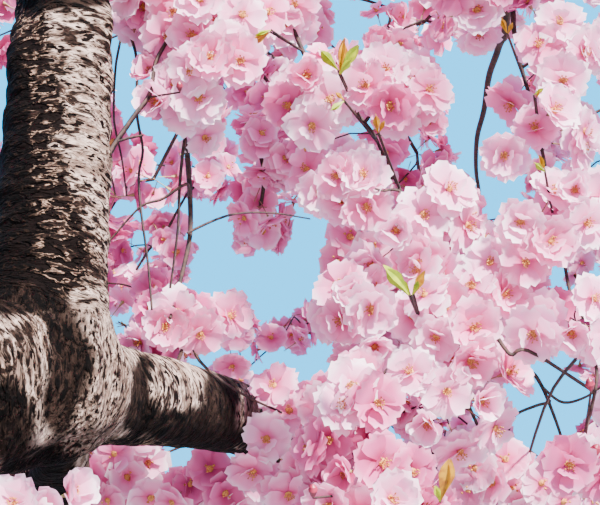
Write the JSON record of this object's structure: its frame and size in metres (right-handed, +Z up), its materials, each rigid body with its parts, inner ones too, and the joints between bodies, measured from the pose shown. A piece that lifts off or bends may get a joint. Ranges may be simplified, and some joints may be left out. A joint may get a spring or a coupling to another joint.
{
  "type": "semi-weeping cherry tree in blossom",
  "caption": "Whole flowering cherry with a bare trunk, arching boughs and hanging masses of pale pink double blossom, standing on its flat cut at ground level.",
  "frame": {"origin": "middle of the flat cut under the trunk, at ground level", "axes": "+Z up the trunk, +Y away from a viewer who looks up into the crown as the picture does, +X to that viewer's right"},
  "size_m": [4.8045, 4.8229, 3.9644],
  "materials": {
    "bark": "grey-brown cherry bark with pale cross bands and dark lenticels, matt",
    "blossom": "pale pink petals with deeper pink hearts on thin dark twigs, soft and matt"
  },
  "bodies": {
    "root": {"blossom_back": "blossom", "blossom_back_left": "blossom", "blossom_back_right": "blossom", "blossom_crest": "blossom", "blossom_front": "blossom", "blossom_front_right": "blossom", "blossom_left": "blossom", "blossom_left_back": "blossom", "blossom_left_front": "blossom", "blossom_right": "blossom", "blossom_right_front": "blossom", "blossom_right_low": "blossom", "blossom_spur_inner": "blossom", "blossom_spur_outer": "blossom", "blossom_upper_back": "blossom", "blossom_upper_front": "blossom", "blossom_upper_left": "blossom", "blossom_upper_middle": "blossom", "blossom_upper_near": "blossom", "blossom_upper_right": "blossom", "bough_back": "bark", "bough_back_left": "bark", "bough_back_right": "bark", "bough_front_right": "bark", "bough_left_back": "bark", "bough_left_front": "bark", "bough_right": "bark", "bough_right_front": "bark", "bough_right_low": "bark", "bough_upper_back": "bark", "bough_upper_front": "bark", "bough_upper_left": "bark", "bough_upper_middle": "bark", "bough_upper_near": "bark", "bough_upper_right": "bark", "leader": "bark", "limb_front": "bark", "limb_left": "bark", "limb_right": "bark", "spur_inner": "bark", "spur_outer": "bark", "trunk": "bark"}
  },
  "joints": []
}
